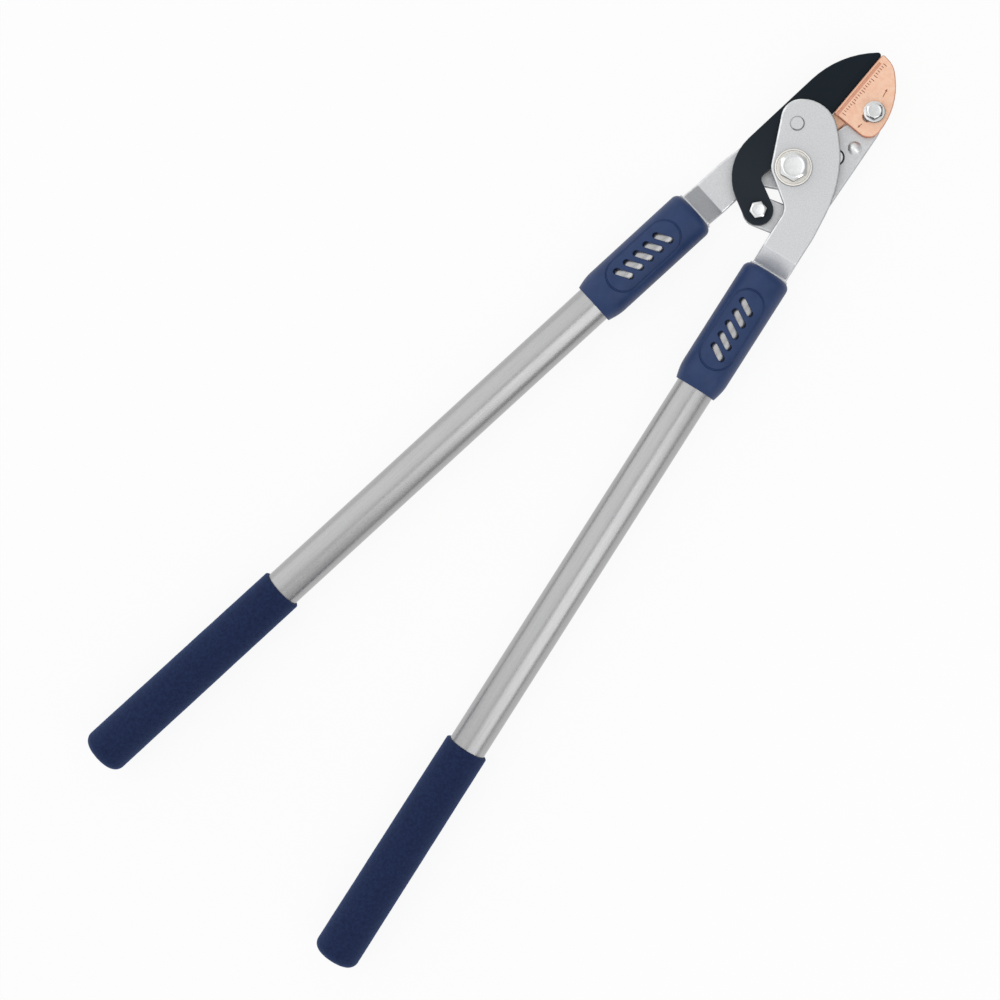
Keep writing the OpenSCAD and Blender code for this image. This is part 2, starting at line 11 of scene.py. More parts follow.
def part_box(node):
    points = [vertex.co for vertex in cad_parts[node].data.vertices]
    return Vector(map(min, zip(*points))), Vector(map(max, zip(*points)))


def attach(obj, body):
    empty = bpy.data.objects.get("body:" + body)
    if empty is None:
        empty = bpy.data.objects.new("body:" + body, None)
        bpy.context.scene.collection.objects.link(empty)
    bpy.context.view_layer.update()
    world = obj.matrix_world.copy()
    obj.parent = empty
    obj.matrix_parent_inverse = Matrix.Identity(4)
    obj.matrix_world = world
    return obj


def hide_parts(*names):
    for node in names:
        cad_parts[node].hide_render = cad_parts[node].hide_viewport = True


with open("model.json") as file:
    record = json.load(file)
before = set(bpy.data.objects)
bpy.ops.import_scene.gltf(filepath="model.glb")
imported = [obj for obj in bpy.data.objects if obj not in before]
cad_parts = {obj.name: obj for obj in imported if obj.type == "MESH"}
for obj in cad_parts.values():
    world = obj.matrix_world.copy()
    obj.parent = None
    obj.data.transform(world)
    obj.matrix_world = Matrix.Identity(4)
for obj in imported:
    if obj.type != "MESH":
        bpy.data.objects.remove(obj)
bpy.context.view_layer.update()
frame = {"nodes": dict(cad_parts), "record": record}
MM = 0.001
SLOTS = {part["node"]: part["material_slot"] for part in frame["record"]["subparts"]}
BODIES = {n: body for body, nodes in frame["record"]["behaviour"]["bodies"].items() for n in nodes}

# Handles: their lean, their distance from the main pivot and the height of their axes
LEAN = math.radians(7.7)
OFFSET = 23 * MM
TUBE_LOW, TUBE_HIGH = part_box("right_tube")
AXIS_Z = (TUBE_LOW.z + TUBE_HIGH.z) / 2
TUBE_R = (TUBE_HIGH.z - TUBE_LOW.z) / 2
SIDES = {"right": 1, "left": -1}

# The photograph's camera
CAMERA_TARGET = Vector((-7.76, -289.61, 16)) * MM
CAMERA_DISTANCE = 1478 * MM
CAMERA_TILTS = (math.radians(3.5), math.radians(4.25))
CAMERA_ROLL = math.radians(49.94)
CAMERA_LENS = 80.17

# Stage: a lamp has a direction from the object, a distance, a width and length, and a power in watts
CLIP_START, CLIP_END = 0.05, 100
FLOOR_SIZE = 20
FLOOR_DROP = 0.2 * MM
FLOOR_WHITE = 0.9
WORLD_TURN = math.radians(40)
WORLD_LEFT, WORLD_MIDDLE, WORLD_RIGHT = 0.88, 0.78, 0.38
LAMPS = {
    "key": ((-0.71, 0, 0.7), 1.6, (1.1, 3.0), 5),
    "strip": ((0.67, 0, 0.74), 2.0, (0.7, 2.4), 7.5),
}

# Mesh clean-up
WELD = 0.001 * MM
FLAT = math.radians(0.5)
SHARP = math.radians(28)

# Widths of rounded edges. A wall lower than its share of the width stays sharp.
PLATE_EDGE = 1.3 * MM
BLADE_EDGE = 0.5 * MM
ANVIL_EDGE = 0.7 * MM
RIVET_EDGE = 0.75 * MM
SMALL_EDGE = 0.25 * MM
HOLE_EDGE = 0.2 * MM
EDGE_SEGMENTS = 4
WALL_SHARE = 2.2
HOLE_REACH = 7 * MM
FASTENERS = ("main_bolt", "tail_bolt", "anvil_bolt", "blade_rivet", "carrier_rivet", "stop_stud")
FASTENER_AXES = [sum(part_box(name), Vector()).xy / 2 for name in FASTENERS]
SMALL_PIECES = (
    "tail_washer", "main_nut", "tail_nut", "anvil_nut", "carrier_bush", "right_socket", "left_socket",
)

# How faces lie: limits for the upward part of their normals, and for its part along Y. They pick the
# faces that get painted highlight, painted shade or painted light.
UPRIGHT, FACES_UP, LEVEL = 0.1, 0.9, 0.99
LIT_STEEP = 0.05
WALL_STEEP = 0.3
EDGE_STEEP = 0.6
WASHER_STEEP = 0.75
FLANGED_STEEP = 0.85
SLOPE_FACING = 0.1
SHADE_FACING = -0.4

# Paints of the plates and the anvil with their painted highlight, shade and light, and the indices of
# all but the plain one
PLATE_PAINTS_AND_SHADES = ["silver_paint", "silver_edge_highlight", "silver_deep_shade", "silver_soft_shade", "silver_lit_ramp"]
PLATE_ROUND, PLATE_DEEP_SHADE, PLATE_SOFT_SHADE, PLATE_LIT_RAMP = 1, 2, 3, 4
ANVIL_PAINTS_AND_SHADES = ["copper", "copper_marks_and_shade", "copper_edge_and_groove_shade", "copper_lit_ledge"]
ANVIL_MARKS_AND_SHADE, ANVIL_EDGE_AND_GROOVE_SHADE, ANVIL_LIT_LEDGE = 1, 2, 3

# Plates, blade and main washers: the right tang lies over the carrier in front of OVERLAP_Y, and there
# its edges away from the light get the deeper painted shade
OVERLAP_Y = -5 * MM
# The blade's coat is painted paler from COAT_DARK_Y to COAT_PALE_Y, a painted sheen
COAT_DARK_Y, COAT_PALE_Y = 45 * MM, -30 * MM
CUTTING_X = -3.3 * MM
CUTTING_SHIFT = 0.2 * MM
MAIN_BORE = 5.05 * MM
WASHER_EDGE = 0.45 * MM
WASHER_EDGE_STEPS = 5
WASHER_RIM = 1.3 * MM
WASHER_SUNK = 0.16 * MM

# The anvil: depths of its groove and its ledge below the top, scale marks from its low end, and two
# arrows from tail to tip in millimetres
GROOVE_LEAST, GROOVE_MOST = 0.1 * MM, 1 * MM
MARK_W = 0.55 * MM
MARK_DEPTH = 0.5 * MM
MARK_OVER = 1 * MM
TICK_FROM_FACE = 4.2 * MM
TICK_SHORT, TICK_LONG = 1.8 * MM, 2.8 * MM
TICK_PITCH = 1.9 * MM
TICK_GROUP = 5
TICK_ROWS = ((11.2 * MM, 16), (42.6 * MM, 6))
ARROWS = (((14.9, 72.1), (13.7, 77.8)), ((15.7, 50.3), (15.1, 46.4)))
ARROW_HEAD_L, ARROW_HEAD_W = 1.8 * MM, 1.7 * MM

# Tubes
TUBE_WALL = 1.5 * MM
TUBE_EDGE = 0.3 * MM
TUBE_SEGMENTS = 128
TUBE_STEPS = 40

# Grips
FOAM = 2.9 * MM
FOAM_TOP = 2.4 * MM
GRIP_FIT = 0.05 * MM
GRIP_BORE_L = 4 * MM
GRIP_BORE_STEPS = 4
GRIP_LIP = 0.4 * MM
GRIP_RIM = 1.1 * MM
GRIP_RIM_FROM = -110
GRIP_RIM_STEPS = 8
GRIP_STEP = 0.8 * MM
GRIP_SEGMENTS = 128
GRIP_ROUND = 6.5 * MM
GRIP_ROUND_STEPS = 14
DOME_SHARE = 0.06
DOME_STEPS = 12
DOME_POLE = 0.4 * MM
DOME_CENTRE_SHARE = 1.4
FOAM_CELL = 1.6 * MM
FOAM_DEPTH = 0.12 * MM
FOAM_FINE_SIZE, FOAM_FINE_SHARE = 0.45, 0.6
FOAM_CELL_SPREAD, FOAM_WAVE_SPREAD = 0.45, 0.5
FOAM_WAVE = 14 * MM
FOAM_WAVE_DEPTH = 0.15 * MM

# Bolts: size across flats, height of the head, radius of the shank, turn in degrees, and for one the
# radius and thickness of its flange
BOLTS = {
    "main_bolt": (17 * MM, 6.4 * MM, 5 * MM, 10),
    "tail_bolt": (10 * MM, 4 * MM, 3 * MM, 49),
    "anvil_bolt": (10 * MM, 5.4 * MM, 3 * MM, 10, (7.1 * MM, 1.4 * MM)),
}
BOLT_POLE = 0.2 * MM
THREAD_CHAMFER = 0.6 * MM
FLANGE_ARC = 60
FLANGE_STEPS = 6

# Bolt heads: shares of the radius, and of the softened width for the places on a softened edge
HEAD_SEGMENTS = 96
HEAD_FOOT_SHARE = 0.94
HEAD_TOP_SHARE = 0.87
HEAD_CHAMFER = 30
HEAD_SOFT = 0.25 * MM
SOFT_SIDE_IN, SOFT_SIDE_DOWN, SOFT_CHAMFER_IN = 0.4, 0.1, 1.4
SOFT_TOP_IN, SOFT_TOP_DOWN = 0.6, 0.45
HEAD_DISH_SHARE = 0.9
HEAD_DISH_DEPTH_SHARE = 0.007
DISH_SLOPE = ((0.06, 0.55), (0.16, 1))
DISH_POLE_SHARE = 0.1

# Collars
COLLAR_ROUND = 5 * MM
COLLAR_ROUND_STEPS = 6
COLLAR_TAPER = 12 * MM
COLLAR_TAPER_STEPS = 10
COLLAR_TAPER_POWER = 1.7
COLLAR_RIM = 1.5 * MM
COLLAR_FIT = 0.05 * MM
COLLAR_SEGMENTS = 96
GRID_STEP = 1.6 * MM
GRID_CLEAR = 0.5 * MM
PLAN_MERGE = 1e-7
OVAL_L, OVAL_W = 59 * MM, 24 * MM
OVAL_LINE = 0.9 * MM
OVAL_DEPTH = 0.8 * MM
OVAL_SOFT = 0.35 * MM
OVAL_POWER = 0.6
OVAL_SHARES = (-1, -0.75, -0.5, -0.2, 0.2, 0.5, 0.75, 1)
OVAL_GROWS = [(OVAL_LINE / 2 + OVAL_SOFT) * share for share in OVAL_SHARES]
WINDOW_COUNT = 5
WINDOW_L, WINDOW_W = 14.5 * MM, 4.2 * MM
WINDOW_PITCH = 8.6 * MM
WINDOW_SLANT = 62
WINDOW_SOFT = 0.6 * MM
WINDOW_GROWS = [WINDOW_SOFT * share for share in (0, 0.1, 0.3, 0.6, 1)]
STADIUM_STEPS = 12
STADIUM_SPACING = 1.2 * MM


# Places

def handle_matrix(side):
    """Local X across a handle, Y to the front and Z down it, level with the main pivot."""
    down = Vector((side * math.sin(LEAN), -math.cos(LEAN), 0))
    front = Vector((0, 0, 1))
    across = front.cross(down)
    matrix = Matrix((across, front, down)).transposed().to_4x4()
    matrix.translation = side * OFFSET * across + AXIS_Z * front
    return matrix


def handle_span(node, side):
    """Where a CAD node starts and ends down its handle."""
    to_local = handle_matrix(side).inverted()
    places = [(to_local @ v.co).z for v in frame["nodes"][node].data.vertices]
    return min(places), max(places)


# Materials

class Paint:
    """A Principled material with short ways to add procedural detail."""

    def __init__(self, name, **constants):
        self.material = bpy.data.materials.new(name)
        self.material.use_nodes = True
        self.tree = self.material.node_tree
        self.shader = self.tree.nodes["Principled BSDF"]
        for key, value in constants.items():
            socket = key.replace("_", " ").title().replace("Ior", "IOR")
            self.shader.inputs[socket].default_value = value

    def add(self, kind, **settings):
        node = self.tree.nodes.new(kind)
        for key, value in settings.items():
            setattr(node, key, value)
        return node

    def link(self, output, target):
        self.tree.links.new(output, target)

    def place(self, stretch=(1, 1, 1), turn=0):
        """Object coordinates, turned about Z and then drawn out along each axis."""
        source = self.add("ShaderNodeTexCoord")
        mapping = self.add("ShaderNodeMapping", vector_type="TEXTURE")
        mapping.inputs["Rotation"].default_value[2] = turn
        mapping.inputs["Scale"].default_value = stretch
        self.link(source.outputs["Object"], mapping.inputs["Vector"])
        return mapping.outputs["Vector"]

    def grain(self, size, detail=3, stretch=(1, 1, 1), turn=0):
        """Noise whose coarsest features have the given size."""
        node = self.add("ShaderNodeTexNoise")
        node.inputs["Scale"].default_value = 1 / size
        node.inputs["Detail"].default_value = detail
        self.link(self.place(stretch, turn), node.inputs["Vector"])
        return node.outputs["Fac"]

    def cells(self, size, output="Distance"):
        """A pattern of cells of the given size."""
        node = self.add("ShaderNodeTexVoronoi")
        node.inputs["Scale"].default_value = 1 / size
        self.link(self.place(), node.inputs["Vector"])
        return node.outputs[output]

    def along_y(self, start, end):
        """How far a point lies from one place along Y to another, from 0 to 1."""
        split = self.add("ShaderNodeSeparateXYZ")
        self.link(self.place(), split.inputs["Vector"])
        return self.between(split.outputs["Y"], 0, 1, start, end)

    def sum(self, a, b, share):
        """Two patterns added, the second one weakened."""
        node = self.add("ShaderNodeMath", operation="MULTIPLY_ADD")
        node.inputs[1].default_value = share
        self.link(b, node.inputs[0])
        self.link(a, node.inputs[2])
        return node.outputs["Value"]

    def between(self, pattern, low, high, start=0.3, end=0.7):
        """A pattern turned into values from low to high."""
        node = self.add("ShaderNodeMapRange")
        for key, value in (("From Min", start), ("From Max", end), ("To Min", low), ("To Max", high)):
            node.inputs[key].default_value = value
        self.link(pattern, node.inputs["Value"])
        return node.outputs["Result"]

    def colour(self, pattern, low, high, start=0.3, end=0.7):
        ramp = self.add("ShaderNodeValToRGB")
        for element, place, value in zip(ramp.color_ramp.elements, (start, end), (low, high)):
            element.position = place
            element.color = (*value, 1)
        self.link(pattern, ramp.inputs["Fac"])
        self.link(ramp.outputs["Color"], self.shader.inputs["Base Color"])

    def roughness(self, pattern, low, high):
        self.link(self.between(pattern, low, high), self.shader.inputs["Roughness"])

    def bump(self, pattern, height, strength=1):
        node = self.add("ShaderNodeBump")
        node.inputs["Distance"].default_value = height
        node.inputs["Strength"].default_value = strength
        self.link(pattern, node.inputs["Height"])
        self.link(node.outputs["Normal"], self.shader.inputs["Normal"])


def silver_paint(name, low, high):
    """Fine metallic paint with a slight orange peel, in one of several shades; the darker and paler
    copies are painted shade and painted light.
    """
    paint = Paint(name, metallic=0.5)
    flakes = paint.cells(0.4 * MM, "Color")
    cloud = paint.grain(0.9 * MM, 5)
    paint.colour(paint.sum(cloud, flakes, 0.1), low, high, 0.35, 0.8)
    paint.roughness(cloud, 0.34, 0.46)
    paint.bump(paint.grain(0.7 * MM, 4), 0.02 * MM)
    return paint.material


def silver_edge_highlight():
    """The same paint brighter and glossier over the edges, a painted highlight."""
    paint = Paint("silver_edge_highlight", metallic=0.8)
    edge_mottle = paint.grain(4 * MM, 5)
    paint.colour(edge_mottle, (0.66, 0.67, 0.685), (0.88, 0.885, 0.89))
    paint.roughness(edge_mottle, 0.36, 0.24)
    paint.bump(paint.grain(0.7 * MM, 3), 0.02 * MM)
    return paint.material


def silver_deep_shade():
    """The same paint much darker: painted shade on walls, on edges away from the light and round a
    rivet.
    """
    paint = Paint("silver_deep_shade", metallic=0.3)
    tone_mottle = paint.grain(2 * MM, 5)
    paint.colour(tone_mottle, (0.2, 0.205, 0.215), (0.32, 0.325, 0.335))
    paint.roughness(tone_mottle, 0.5, 0.62)
    paint.bump(paint.grain(0.7 * MM, 3), 0.02 * MM)
    return paint.material


def bare_aluminium(side):
    """Satin drawn tube with fine lines along it."""
    paint = Paint(side + "_aluminium", metallic=1.0)
    turn = SIDES[side] * LEAN
    lines = paint.grain(0.45 * MM, 4, (1, 60, 1), turn)
    specks = paint.grain(0.7 * MM, 3, (1, 3, 1), turn)
    paint.colour(paint.sum(lines, specks, 0.8), (0.375, 0.375, 0.38), (0.435, 0.435, 0.44), 0.6, 1.2)
    paint.roughness(specks, 0.27, 0.34)
    paint.bump(specks, 0.012 * MM, 0.6)
    return paint.material


def black_coat():
    """Smooth non-stick coating with a faint mottle, painted paler towards the tail as a painted sheen.
    """
    paint = Paint("black_coat", specular_ior_level=0.17)
    mottle = paint.grain(5 * MM, 6)
    painted_sheen = paint.sum(paint.along_y(COAT_DARK_Y, COAT_PALE_Y), mottle, 0.15)
    paint.colour(painted_sheen, (0.003, 0.009, 0.0155), (0.0135, 0.021, 0.0295), 0.07, 1)
    paint.roughness(mottle, 0.36, 0.46)
    paint.bump(paint.grain(0.7 * MM, 3), 0.012 * MM)
    return paint.material


def black_edge_highlight():
    """The coating a little brighter on the edges, a painted highlight."""
    paint = Paint("black_edge_highlight", specular_ior_level=0.4)
    edge_mottle = paint.grain(3 * MM, 6)
    paint.colour(edge_mottle, (0.01, 0.014, 0.019), (0.05, 0.056, 0.064), 0.45, 0.8)
    paint.roughness(edge_mottle, 0.42, 0.3)
    paint.bump(edge_mottle, 0.02 * MM)
    return paint.material


def copper():
    """Matte copper coloured casting."""
    paint = Paint("copper", specular_ior_level=0.6)
    cloud = paint.grain(3 * MM, 6)
    sand = paint.grain(0.6 * MM, 4)
    paint.colour(paint.sum(cloud, sand, 0.8), (0.95, 0.515, 0.345), (1.0, 0.655, 0.465), 0.6, 1.2)
    paint.roughness(sand, 0.4, 0.52)
    paint.bump(sand, 0.03 * MM)
    return paint.material


def copper_variant(name, low, high):
    """A recoloured copy of the copper: redder and darker for the marks and the edges, painted shade on
    the groove floor and on faces away from the light, and painted light on the ledge.
    """
    paint = Paint(name, metallic=0.12, specular_ior_level=0.25)
    tone_mottle = paint.grain(1.2 * MM, 5)
    paint.colour(tone_mottle, low, high)
    paint.roughness(tone_mottle, 0.5, 0.65)
    paint.bump(tone_mottle, 0.03 * MM)
    return paint.material


def zinc(name, low, high):
    """Zinc plating, a little cloudy, between two levels of roughness."""
    paint = Paint(name, metallic=1.0)
    cloud = paint.grain(2.5 * MM, 5)
    paint.colour(cloud, (0.82, 0.835, 0.845), (0.9, 0.905, 0.9))
    paint.roughness(cloud, low, high)
    paint.bump(paint.grain(0.6 * MM, 3), 0.005 * MM)
    return paint.material


def zinc_painted_shade():
    """Zinc plating much darker: painted shade on the sides of heads and on the rims of washers."""
    paint = Paint("zinc_painted_shade", metallic=1.0)
    shade_mottle = paint.grain(1.5 * MM, 5)
    paint.colour(shade_mottle, (0.04, 0.046, 0.052), (0.14, 0.148, 0.155))
    paint.roughness(shade_mottle, 0.42, 0.3)
    paint.bump(shade_mottle, 0.01 * MM)
    return paint.material


def pale_zinc():
    """Pale yellow passivated zinc."""
    paint = Paint("pale_zinc", metallic=0.4)
    cloud = paint.grain(2 * MM, 6)
    paint.colour(cloud, (0.98, 0.935, 0.85), (1.0, 0.985, 0.94))
    paint.roughness(cloud, 0.28, 0.42)
    paint.bump(paint.grain(0.5 * MM, 3), 0.02 * MM)
    return paint.material


def navy_plastic():
    """Satin moulded plastic with a spark eroded grain."""
    paint = Paint("navy_plastic", specular_ior_level=0.25)
    cloud = paint.grain(9 * MM, 5)
    grain = paint.grain(0.45 * MM, 2)
    paint.colour(cloud, (0.018, 0.04, 0.118), (0.025, 0.051, 0.144))
    paint.roughness(grain, 0.36, 0.48)
    paint.bump(grain, 0.03 * MM, 0.8)
    return paint.material


def navy_foam():
    """Closed cell foam: fine pits, a soft bloom and no gloss."""
    paint = Paint(
        "navy_foam", roughness=0.92, specular_ior_level=0.12, sheen_weight=0.3, sheen_roughness=0.5,
    )
    paint.shader.inputs["Sheen Tint"].default_value = (0.3, 0.45, 0.85, 1)
    pits = paint.cells(0.75 * MM)
    cloud = paint.grain(2.2 * MM, 6)
    speckle = paint.sum(cloud, pits, 0.35)
    paint.colour(speckle, (0.009, 0.0165, 0.053), (0.0155, 0.0275, 0.082), 0.45, 0.85)
    paint.bump(paint.sum(paint.grain(0.9 * MM, 4), pits, 0.8), 0.16 * MM)
    return paint.material


def nylon(name, low, high):
    """Satin nylon between two shades."""
    paint = Paint(name, specular_ior_level=0.4)
    cloud = paint.grain(2 * MM, 4)
    paint.colour(cloud, low, high)
    paint.roughness(cloud, 0.38, 0.5)
    paint.bump(paint.grain(0.5 * MM, 2), 0.02 * MM)
    return paint.material


MATERIALS = {
    "silver_paint": silver_paint("silver_paint", (0.62, 0.632, 0.65), (0.76, 0.768, 0.78)),
    # Darker and paler copies of the paint: painted shade and painted light on slopes and edges.
    "silver_soft_shade": silver_paint("silver_soft_shade", (0.44, 0.455, 0.475), (0.54, 0.552, 0.57)),
    "silver_lit_ramp": silver_paint("silver_lit_ramp", (0.7, 0.712, 0.732), (0.85, 0.86, 0.875)),
    "silver_edge_highlight": silver_edge_highlight(),
    "silver_deep_shade": silver_deep_shade(),
    "bare_aluminium": bare_aluminium("right"),
    "left_aluminium": bare_aluminium("left"),
    "black_coat": black_coat(),
    "black_edge_highlight": black_edge_highlight(),
    "copper": copper(),
    # Copies of the copper: darker edges with painted shade on the groove floor, a paler ledge as
    # painted light, and marks that also serve as painted shade.
    "copper_edge_and_groove_shade": copper_variant("copper_edge_and_groove_shade", (0.68, 0.34, 0.22), (0.84, 0.46, 0.32)),
    "copper_lit_ledge": copper_variant("copper_lit_ledge", (1.0, 0.61, 0.41), (1.0, 0.69, 0.49)),
    "copper_marks_and_shade": copper_variant("copper_marks_and_shade", (0.47, 0.17, 0.1), (0.64, 0.3, 0.19)),
    "zinc": zinc("zinc", 0.12, 0.2),
    "satin_zinc": zinc("satin_zinc", 0.34, 0.46),
    "zinc_painted_shade": zinc_painted_shade(),
    "pale_zinc": pale_zinc(),
    "navy_plastic": navy_plastic(),
    "navy_foam": navy_foam(),
    "black_nylon": nylon("black_nylon", (0.01, 0.01, 0.012), (0.016, 0.016, 0.018)),
    "white_nylon": nylon("white_nylon", (0.66, 0.66, 0.68), (0.76, 0.76, 0.78)),
}


# Meshes

def piece(name, bm, node, matrix=None, materials=()):
    """A new object that stands for a CAD node and rides on its body."""
    mesh = bpy.data.meshes.new(name)
    bmesh.ops.recalc_face_normals(bm, faces=bm.faces)
    if matrix:
        bmesh.ops.transform(bm, matrix=matrix, verts=bm.verts)
    for face in bm.faces:
        face.smooth = True
    bm.to_mesh(mesh)
    bm.free()
    mesh.set_sharp_from_angle(angle=SHARP)
    for key in materials or [SLOTS[node]]:
        mesh.materials.append(MATERIALS[key])
    obj = bpy.data.objects.new(name, mesh)
    bpy.context.scene.collection.objects.link(obj)
    obj.modifiers.new("weighted", "WEIGHTED_NORMAL").keep_sharp = True
    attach(obj, BODIES[node])
    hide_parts(node)
    return obj


def solid_copy(node):
    """The CAD node's mesh with its flat faces joined up again."""
    bm = bmesh.new()
    bm.from_mesh(frame["nodes"][node].data)
    bmesh.ops.remove_doubles(bm, verts=bm.verts, dist=WELD)
    bmesh.ops.dissolve_limit(bm, angle_limit=FLAT, verts=bm.verts, edges=bm.edges)
    return bm


def near_hole(edge):
    """Whether an edge belongs to the hole of a fastener, whose wall faces the fastener's axis."""
    middle = (edge.verts[0].co + edge.verts[1].co).xy / 2
    for inward in (axis - middle for axis in FASTENER_AXES):
        faces_axis = any(face.normal.xy.dot(inward) > WELD for face in edge.link_faces)
        if faces_axis and inward.length < HOLE_REACH:
            return True
    return False


def can_round(edge, width, slanted):
    """Whether an outer edge is sharp and its walls are high enough for the rounding."""
    if not edge.is_manifold or not edge.is_convex or edge.calc_face_angle() < SHARP:
        return False
    for face in edge.link_faces:
        heights = [v.co.z for v in face.verts]
        wall = abs(face.normal.z) < UPRIGHT
        if wall and max(heights) - min(heights) < WALL_SHARE * width:
            return False
        if not slanted and not wall and abs(face.normal.z) < LEVEL:
            return False
    return True


def round_edges(bm, width, edge_index=-1, slanted=True, spare_holes=True):
    """Rounds the outline widely, then the holes and thin places a little."""
    for size in (width, HOLE_EDGE):
        edges = [e for e in bm.edges if can_round(e, size, slanted)]
        if spare_holes and size > HOLE_EDGE:
            edges = [e for e in edges if not near_hole(e)]
        bmesh.ops.bevel(
            bm, geom=edges, offset=size, offset_type="OFFSET", segments=EDGE_SEGMENTS, profile=0.5,
            affect="EDGES", clamp_overlap=False, material=edge_index,
        )


def paint_walls(bm, index, steep, shaded_steep=0):
    """Gives steep faces another material, which is painted shade. Away from the light the limit can be
    another one.
    """
    bm.normal_update()
    for face in bm.faces:
        limit = max(steep, shaded_steep) if face.normal.x > 0 else steep
        if abs(face.normal.z) < limit:
            face.material_index = index


def ring_mesh(rings, closed_end=False, closed_loop=False):
    """Skin over rings of points; the last ring can end in a flat fan, or join the first ring."""
    bm = bmesh.new()
    rows = [[bm.verts.new(point) for point in ring] for ring in rings]
    count = len(rows[0])
    pairs = list(zip(rows, rows[1:]))
    if closed_loop:
        pairs.append((rows[-1], rows[0]))
    for low, high in pairs:
        for i in range(count):
            j = (i + 1) % count
            bm.faces.new((low[i], low[j], high[j], high[i]))
    if closed_end:
        pole = bm.verts.new(sum((v.co for v in rows[-1]), Vector()) / count)
        for i in range(count):
            bm.faces.new((rows[-1][i], rows[-1][(i + 1) % count], pole))
    return bm


def circle(radius, z, segments):
    angles = [2 * math.pi * i / segments for i in range(segments)]
    return [Vector((radius * math.sin(a), radius * math.cos(a), z)) for a in angles]


def arc(centre, radius, start, end, steps):
    """Points of an arc in a (radius, height) profile, angles in degrees from the radius axis."""
    angles = [math.radians(start + (end - start) * i / steps) for i in range(steps + 1)]
    return [(centre[0] + radius * math.cos(a), centre[1] + radius * math.sin(a)) for a in angles]


def line(start, end, steps):
    """Points of a straight line without its first one."""
    return [
        (start[0] + (end[0] - start[0]) * i / steps, start[1] + (end[1] - start[1]) * i / steps)
        for i in range(1, steps + 1)
    ]


# Plates and pressed or turned pieces

def rounded(node, width, edge_material=None, finish=None, shaded=None, spare_holes=True):
    """A CAD node with its edges rounded; the roundings can get another material, and those away from
    the light a third one, as painted shade.
    """
    bm = solid_copy(node)
    round_edges(bm, width, 1 if edge_material else -1, True, spare_holes)
    materials = [finish or SLOTS[node]] + [name for name in (edge_material, shaded) if name]
    if shaded:
        bm.normal_update()
        for face in bm.faces:
            if face.material_index == 1 and face.normal.x > 0:
                face.material_index = 2
    return piece(node + "_body", bm, node, materials=materials)


def add_plate(node):
    """A pressed plate: a painted highlight on edges towards the light, painted shade on walls and on
    edges away from it, painted shade on slopes facing the jaws and painted light on slopes facing the
    tail.
    """
    bm = solid_copy(node)
    paint_walls(bm, PLATE_DEEP_SHADE, WALL_STEEP)
    for face in bm.faces:
        # Slopes facing the jaws get painted shade and slopes facing the tail painted light.
        if abs(face.normal.y) > SLOPE_FACING and face.material_index == 0:
            face.material_index = PLATE_SOFT_SHADE if face.normal.y > 0 else PLATE_LIT_RAMP
    round_edges(bm, PLATE_EDGE, PLATE_ROUND)
    bm.normal_update()
    for face in bm.faces:
        # Roundings away from the light get painted shade, the deeper one where the right tang lies over
        # the carrier.
        rounding = face.material_index == PLATE_ROUND and abs(face.normal.z) < EDGE_STEEP
        if rounding and face.normal.x > 0:
            overlaps = node == "right_tang" and face.calc_center_median().y > OVERLAP_Y
            face.material_index = PLATE_DEEP_SHADE if overlaps else PLATE_SOFT_SHADE
    piece(node + "_body", bm, node, materials=PLATE_PAINTS_AND_SHADES)


def add_washer(node, bore):
    """A stamped washer with a rounded rim that stands a little above both faces, with painted shade on
    its steep edges.
    """
    low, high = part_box(node)
    middle = (low + high) / 2
    r, edge = (high.x - low.x) / 2, WASHER_EDGE
    rim, sunk = r - WASHER_RIM, WASHER_SUNK
    profile = [
        (bore, low.z + sunk), (rim - sunk, low.z + sunk), (rim, low.z),
        *arc((r - edge, low.z + edge), edge, -90, 0, WASHER_EDGE_STEPS),
        *arc((r - edge, high.z - edge), edge, 0, 90, WASHER_EDGE_STEPS),
        (rim, high.z), (rim - sunk, high.z - sunk), (bore, high.z - sunk),
    ]
    bm = ring_mesh([circle(radius, z, HEAD_SEGMENTS) for radius, z in profile], closed_loop=True)
    paint_walls(bm, 1, WASHER_STEEP)
    place = Matrix.Translation((middle.x, middle.y, 0))
    piece(node + "_body", bm, node, place, ["pale_zinc", "zinc_painted_shade"])


def add_blade():
    """The blade, its cutting edge drawn out to meet the anvil."""
    bm = solid_copy("blade")
    for vert in bm.verts:
        if vert.co.x > CUTTING_X and vert.co.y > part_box("anvil")[0].y - WELD:
            vert.co.x += CUTTING_SHIFT
    round_edges(bm, BLADE_EDGE, 1, slanted=False)
    piece("blade_body", bm, "blade", materials=["black_coat", "black_edge_highlight"])


def add_plates():
    for node in ("right_tang", "left_tang", "anvil_carrier"):
        add_plate(node)
    add_blade()
    for node in ("main_front_washer", "main_rear_washer"):
        add_washer(node, MAIN_BORE)
    for node in SMALL_PIECES:
        rounded(node, SMALL_EDGE, spare_holes=False)
    # The rivet's rim is painted shade, deeper away from the light.
    rounded("blade_rivet", RIVET_EDGE, "silver_soft_shade", shaded="silver_deep_shade", spare_holes=False)
    for node in ("carrier_rivet", "stop_stud"):
        rounded(node, SMALL_EDGE, finish="satin_zinc", spare_holes=False)


# The anvil with its marks

def arrow(tail, tip):
    """Outline of a small arrow."""
    start, end = Vector(tail) * MM, Vector(tip) * MM
    along = (end - start).normalized()
    across = Vector((-along.y, along.x))
    neck = end - along * ARROW_HEAD_L
    half = MARK_W / 2
    return [
        start - across * half, neck - across * half, neck - across * ARROW_HEAD_W / 2, end,
        neck + across * ARROW_HEAD_W / 2, neck + across * half, start + across * half,
    ]


